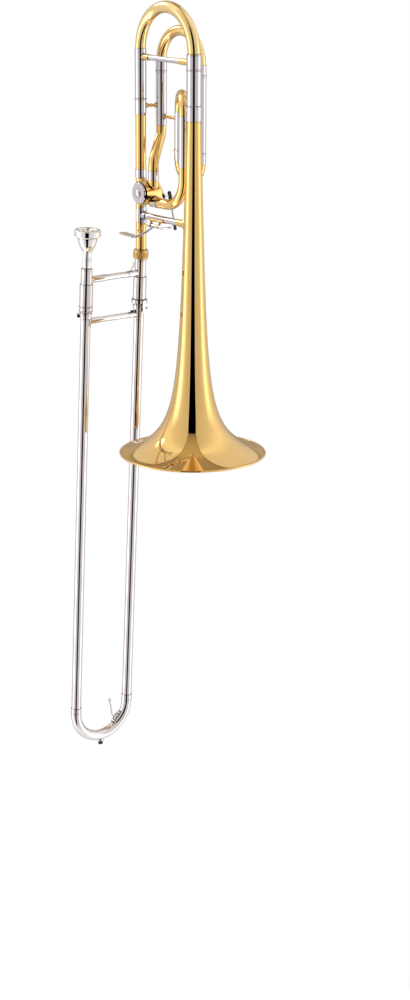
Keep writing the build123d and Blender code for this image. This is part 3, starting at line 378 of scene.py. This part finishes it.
# the bows take the paler brass copy, a painted highlight
OWN_LOOKS = {"bell": "bell_brass", "lock_nut": "knurled_brass", "tuning_bow": "bow_brass_painted_highlight",
             "f_slide_bow": "bow_brass_painted_highlight"}


def look_of(node):
    """The finish a node shows."""
    slot = slot_of[node]
    if slot == "nickel_silver" and nodes[node]["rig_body"] in SLIDE_BODIES:
        return "slide_silver"
    return OWN_LOOKS.get(node, slot)


def paint_cad():
    """Every CAD node gets its finish; the solids themselves stay as they are."""
    for name, obj in nodes.items():
        for place in obj.material_slots:
            place.link = "OBJECT"
            place.material = looks[look_of(name)]


# ---- mesh helpers ---------------------------------------------------------------------------------
SIDES = 96                       # flats round a tube
CORNER_SHARE, CORNER_STEPS = 0.45, 3   # the most of an edge that a rounded corner takes, and its steps
SHARP, BEAD_SHARP, KNURL_SHARP = 40, 30, 28   # degrees from which an edge stays sharp
SLEEVE_EDGE = 0.15 * MM          # rounding at the ends of a sleeve


class Line:
    """An axis in the row frame, with two directions across it."""

    def __init__(self, origin, axis):
        self.origin, self.axis = Vector(origin), Vector(axis).normalized()
        side = Vector((0, 1, 0)) if abs(self.axis.y) < 0.9 else Vector((1, 0, 0))
        self.across = side.cross(self.axis).normalized()
        self.other = self.axis.cross(self.across)

    def point(self, along, radius=0.0, turn=0.0):
        out = self.across * math.cos(turn) + self.other * math.sin(turn)
        return self.origin + self.axis * along + out * radius


def reach(node, line, within=1.0):
    """(lowest, highest) place along a line and (smallest, largest) distance from it, of a CAD node."""
    points = np.array([v.co for v in nodes[node].data.vertices]) - np.array(line.origin)
    along = points @ np.array(line.axis)
    away = np.linalg.norm(points - np.outer(along, np.array(line.axis)), axis=1)
    near = away < within
    return along[near].min(), along[near].max(), away[near].min(), away[near].max()


def upright(node):
    """The upright axis through the middle of a CAD node."""
    low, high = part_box(node)
    return Line(((low.x + high.x) / 2, (low.y + high.y) / 2, 0), UP)


def piece(name, vertices, faces, node, sharp=SHARP):
    """A mesh piece that stands for a CAD node, with its body, slot and finish."""
    mesh = bpy.data.meshes.new(name)
    mesh.from_pydata([tuple(v) for v in vertices], [], faces)
    mesh.validate()
    mesh.polygons.foreach_set("use_smooth", [True] * len(mesh.polygons))
    mesh.set_sharp_from_angle(angle=math.radians(sharp))
    mesh.materials.append(looks[look_of(node)])
    obj = bpy.data.objects.new(name, mesh)
    bpy.context.scene.collection.objects.link(obj)
    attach(obj, nodes[node]["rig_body"])
    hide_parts(node)


def grid_faces(rows, columns):
    """Quads between successive rings of the same number of points, and from the last ring to the first."""
    faces = []
    for i in range(rows):
        j = (i + 1) % rows
        for k in range(columns):
            m = (k + 1) % columns
            faces.append((i * columns + k, i * columns + m, j * columns + m, j * columns + k))
    return faces


def rounded(profile, size):
    """A closed profile with its corners rounded."""
    result = []
    count = len(profile)
    for i, corner in enumerate(profile):
        here = Vector(corner)
        before, after = Vector(profile[i - 1]) - here, Vector(profile[(i + 1) % count]) - here
        cut = min(size, before.length * CORNER_SHARE, after.length * CORNER_SHARE)
        start, end = here + before.normalized() * cut, here + after.normalized() * cut
        for k in range(CORNER_STEPS + 1):
            t = k / CORNER_STEPS
            result.append(tuple(start * (1 - t) ** 2 + here * 2 * t * (1 - t) + end * t ** 2))
    return result


def turned(line, profile, count=SIDES):
    """Vertices and faces of a closed (radius, along) profile turned round a line."""
    vertices = [line.point(s, r, 2 * math.pi * k / count) for r, s in profile for k in range(count)]
    return vertices, grid_faces(len(profile), count)


def merged(*parts):
    """Several (vertices, faces) as one."""
    vertices, faces = [], []
    for more, quads in parts:
        faces += [tuple(i + len(vertices) for i in q) for q in quads]
        vertices += more
    return vertices, faces


def sleeve_profile(low, high, radius, bore):
    """A plain sleeve's section."""
    return rounded([(radius, low), (radius, high), (bore, high), (bore, low)], SLEEVE_EDGE)


def bent_tube(centres, radii, wall, count=SIDES):
    """A tube of varying radius along a line of centres, both skins and both ends."""
    centres = [Vector(c) for c in centres]
    ahead = [(centres[min(i + 1, len(centres) - 1)] - centres[max(i - 1, 0)]).normalized()
             for i in range(len(centres))]
    across = ahead[0].orthogonal().normalized()
    outer, inner = [], []
    for centre, way, radius in zip(centres, ahead, radii):
        across = (across - way * across.dot(way)).normalized()
        other = way.cross(across)
        for skin, r in ((outer, radius), (inner, radius - wall)):
            for k in range(count):
                t = 2 * math.pi * k / count
                skin.append(centre + (across * math.cos(t) + other * math.sin(t)) * r)
    rows = len(centres)
    backwards = [inner[i * count + k] for i in reversed(range(rows)) for k in range(count)]
    return outer + backwards, grid_faces(2 * rows, count)


def half_circle(start, end, bulge, steps):
    """Points of a half circle from start to end, on the side of bulge."""
    middle, radius = (start + end) / 2, (end - start).length / 2
    across, way = (start - end).normalized(), Vector(bulge).normalized()
    return [middle + (across * math.cos(math.pi * i / steps) + way * math.sin(math.pi * i / steps)) * radius
            for i in range(steps + 1)]


# ---- bell -----------------------------------------------------------------------------------------
# in mm: the rim's roll is a round bead, BELL_ROLL_IN inside the flare's own edge
BELL_WALL, BELL_ROLL_R, BELL_ROLL_Z, BELL_ROLL_IN = 0.6, 1.4, 1.2, 0.9
FLARE, FLARE_START, FLARE_POWER = 26.0, 54.6, -2.009
THROAT_R, TAPER = 9.49, 0.0207
BELL_ROWS, BELL_CROWDING, BELL_SIDES, ROLL_STEPS = 150, 2.1, 288, 28   # rows crowd towards the rim
SLOPE_STEP = 0.05


def bell_radius(z, top):
    """Outside radius of the bell in mm at height z in mm: a flare, a taper and the throat."""
    return FLARE * ((z + FLARE_START) / 100) ** FLARE_POWER + THROAT_R + TAPER * (top - z)


def bell():
    """One spun sheet rolled round a wire at its rim."""
    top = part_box("bell")[1].z / MM
    outer, inner = [], []
    for i in range(BELL_ROWS + 1):
        z = BELL_ROLL_Z + (top - BELL_ROLL_Z) * (i / BELL_ROWS) ** BELL_CROWDING
        r = bell_radius(z - BELL_ROLL_Z * (1 - i / BELL_ROWS), top)
        slope = (bell_radius(z + SLOPE_STEP, top) - bell_radius(z - SLOPE_STEP, top)) / (2 * SLOPE_STEP)
        n = math.hypot(1, slope)
        outer.append((r, z))
        inner.append((r - BELL_WALL / n, z + BELL_WALL * slope / n))
    inner[-1] = (inner[-1][0], top)
    roll_r = bell_radius(0, top) - BELL_ROLL_IN

    def clear_of_roll(points):
        return [p for p in points if math.hypot(p[0] - roll_r, p[1] - BELL_ROLL_Z) > BELL_ROLL_R]

    def turn_of(point):
        return math.atan2(point[1] - BELL_ROLL_Z, point[0] - roll_r)

    outer, inner = clear_of_roll(outer), clear_of_roll(inner)
    start, end = turn_of(inner[0]), turn_of(outer[0])
    while end < start + math.pi:
        end += 2 * math.pi
    turns = [start + (end - start) * i / ROLL_STEPS for i in range(1, ROLL_STEPS)]
    roll = [(roll_r + BELL_ROLL_R * math.cos(t), BELL_ROLL_Z + BELL_ROLL_R * math.sin(t)) for t in turns]
    profile = [(r * MM, z * MM) for r, z in outer + inner[::-1] + roll]
    piece("bell_shell", *turned(Line((0, 0, 0), UP), profile, BELL_SIDES), "bell")


# ---- bows, tubes and sleeves ----------------------------------------------------------------------
BOW_STEPS, BOW_WALL = 120, 0.5 * MM
CROOK_STEPS, CROOK_WALL = 96, 0.6 * MM
BEAD_PROUD, BEAD_HALF = 0.9 * MM, 0.8 * MM
GROOVE = 0.25 * MM               # depth and width of the groove beside a bead
BEAD_STEPS = 6
BARREL_PROUD, BARREL_RING = BEAD_PROUD * 0.9, 0.6 * MM
BARREL_RINGS_APART = 7.3 * MM
BARREL_WITHIN = 15 * MM          # farther from a tube's axis lies the other tube's barrel


def main_bow():
    """The main tuning slide's bow, wider towards the bell."""
    low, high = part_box("tuning_bow")
    neck, throat = upright("tuning_neck_sleeve"), upright("tuning_bell_leg")
    start = Vector((neck.origin.x, 0, low.z))
    end = Vector((throat.origin.x, 0, low.z))
    small, large = start.x - low.x, high.x - end.x
    centres = half_circle(start, end, UP, BOW_STEPS)
    radii = [small + (large - small) * i / BOW_STEPS for i in range(BOW_STEPS + 1)]
    piece("tuning_bow_tube", *bent_tube(centres, radii, BOW_WALL), "tuning_bow")


def slide_crook(slide):
    """The hand slide's end bow, between the two outer tubes."""
    _, high, _, far = reach("crook", slide["neck"])
    start, end = slide["neck"].point(high), slide["mouthpiece"].point(high)
    radius = far - (end - start).length
    centres = half_circle(start, end, -slide["neck"].axis, CROOK_STEPS)
    piece("crook_tube", *bent_tube(centres, [radius] * len(centres), CROOK_WALL), "crook")


def hand_slide():
    """The hand slide's axes, from the joint the whole section turns on and the two inner tubes."""
    joint = joints["slide_section_swivel"]
    neck = Line(joint["pos_m"], joint["axis"])
    low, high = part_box("inner_tube_mouthpiece")
    shift = (low.y + high.y) / 2
    mouthpiece = Line(neck.origin + Vector((0, shift, 0)), neck.axis)
    return {"neck": neck, "mouthpiece": mouthpiece}


def slide_tubes(slide):
    """The hand slide's outer and inner tubes, on both sides."""
    for side, line in slide.items():
        for kind in ("outer", "inner"):
            node = f"{kind}_tube_{side}"
            low, high, bore, radius = reach(node, line)
            section = sleeve_profile(low, high, radius, bore)
            piece(f"{kind}_slide_tube_{side}", *turned(line, section), node)


def beaded_profile(low, high, radius, bore, beads, proud, half):
    """A sleeve's section with round beads, each in a fine groove of its own."""
    outline = [(bore, low), (radius, low)]
    for middle in beads:
        outline.append((radius, middle - half - GROOVE))
        for i in range(BEAD_STEPS + 1):
            turn = math.pi * i / BEAD_STEPS
            bulge = (proud + GROOVE) * math.sin(turn) - GROOVE
            outline.append((radius + bulge, middle - half * math.cos(turn)))
        outline.append((radius, middle + half + GROOVE))
    outline += [(radius, high), (bore, high)]
    clean = [p for i, p in enumerate(outline) if i == 0 or p != outline[i - 1]]
    return [(r, min(max(s, low), high)) for r, s in clean]


def beaded_sleeves(slide):
    """Nickel slide sleeves with their end beads, and the barrels over the hand slide's corks."""
    bell_side, neck_side = upright("bell_slide_sleeve"), upright("tuning_neck_sleeve")
    low, high, bore, far = reach("bell_slide_sleeve", bell_side)
    beads = [low + BEAD_HALF, high - BEAD_HALF]
    section = beaded_profile(low, high, far - BEAD_PROUD, bore, beads, BEAD_PROUD, BEAD_HALF)
    piece("bell_sleeve_beaded", *turned(bell_side, section), "bell_slide_sleeve", sharp=BEAD_SHARP)
    low, high, bore, far = reach("tuning_neck_sleeve", neck_side)
    section = beaded_profile(low, high, far - BEAD_PROUD, bore, [low + BEAD_HALF], BEAD_PROUD, BEAD_HALF)
    piece("neck_sleeve_beaded", *turned(neck_side, section), "tuning_neck_sleeve", sharp=BEAD_SHARP)
    barrels = []
    for line in slide.values():
        low, high, bore, far = reach("cork_barrels", line, BARREL_WITHIN)
        rings = [low + BARREL_RING, low + BARREL_RINGS_APART]
        section = beaded_profile(low, high, far - BEAD_PROUD, bore, rings, BARREL_PROUD, BARREL_RING)
        barrels.append(turned(line, section))
    piece("cork_barrels_beaded", *merged(*barrels), "cork_barrels", sharp=BEAD_SHARP)


# ---- lock nut and springs -------------------------------------------------------------------------
KNURL_DEPTH, KNURL_TEETH, KNURL_ROWS, SIDES_PER_TOOTH = 0.25 * MM, 52, 26, 6
KNURL_STEEPNESS = 3.2            # a groove reaches 1 / 3.2 of the pitch to each side
KNURL_ABOVE_FOOT, KNURL_BELOW_TOP = 2.2 * MM, 3.0 * MM
NUT_COLLAR, NUT_COLLAR_IN = 0.8 * MM, 1.4 * MM          # the narrow collar's height and step in
NUT_SHOULDER = 1.6 * MM          # from the top down to where the slope to the collar begins
NUT_CHAMFER, NUT_CHAMFER_IN = 1.2 * MM, 0.8 * MM        # at the foot
NUT_EDGE = 0.3 * MM
COIL_STEPS, COIL_SIDES, COIL_SOLID = 28, 10, 0.98       # per turn, round the wire, share that is metal
LEVER_TURNS, LEVER_WIRE = 4, 0.34 * MM
KEY_TURNS, KEY_WIRE = 1.5, 0.16 * MM


def lock_nut(slide):
    """Ring nut with a diamond knurl between two plain rims."""
    line = slide["neck"]
    low, high, bore, radius = reach("lock_nut", line)
    band_low, band_high = low + KNURL_ABOVE_FOOT, high - KNURL_BELOW_TOP
    count = KNURL_TEETH * SIDES_PER_TOOTH
    pitch = 2 * math.pi * radius / KNURL_TEETH
    outline = rounded([(radius, high - NUT_SHOULDER), (radius - NUT_COLLAR_IN, high - NUT_COLLAR),
                       (radius - NUT_COLLAR_IN, high), (bore, high), (bore, low),
                       (radius - NUT_CHAMFER_IN, low), (radius, low + NUT_CHAMFER)], NUT_EDGE)
    rings = [[(r, s)] * count for r, s in outline]
    for i in range(KNURL_ROWS + 1):
        s = band_low + (band_high - band_low) * i / KNURL_ROWS
        ring = []
        for k in range(count):
            u, v = KNURL_TEETH * k / count, (s - band_low) / pitch
            groove = min(abs((u + v) % 1 - 0.5), abs((u - v) % 1 - 0.5))
            cut = KNURL_DEPTH * (1 - min(1, groove * KNURL_STEEPNESS))
            ring.append((radius - (cut if 0 < i < KNURL_ROWS else 0), s))
        rings.append(ring)
    vertices = [line.point(s, r, 2 * math.pi * k / count) for ring in rings for k, (r, s) in enumerate(ring)]
    piece("knurled_lock_nut", vertices, grid_faces(len(rings), count), "lock_nut", sharp=KNURL_SHARP)


def coil(name, node, line, turns, wire):
    """A torsion spring: a helix round its pin, inside the space of the plain ring it stands for."""
    low, high, bore, radius = reach(node, line)
    middle = (bore + radius) / 2
    steps = int(turns * COIL_STEPS)
    centres = []
    for i in range(steps + 1):
        along = low + wire + (high - low - 2 * wire) * i / steps
        centres.append(line.point(along, middle, 2 * math.pi * turns * i / steps))
    piece(name, *bent_tube(centres, [wire] * len(centres), wire * COIL_SOLID, COIL_SIDES), node)


def springs():
    """The thumb lever's and the water key's springs, each round its hinge."""
    lever, key = joints["thumb_lever_press"], joints["water_key_press"]
    coil("lever_coil", "lever_spring", Line(lever["pos_m"], lever["axis"]), LEVER_TURNS, LEVER_WIRE)
    coil("key_coil", "key_spring", Line(key["pos_m"], key["axis"]), KEY_TURNS, KEY_WIRE)


looks = all_materials()
paint_cad()
to_camera = camera()
studio(to_camera)
floor()
bell()
main_bow()
slide = hand_slide()
slide_tubes(slide)
slide_crook(slide)
lock_nut(slide)
beaded_sleeves(slide)
springs()
bpy.context.scene.view_settings.view_transform = "Standard"
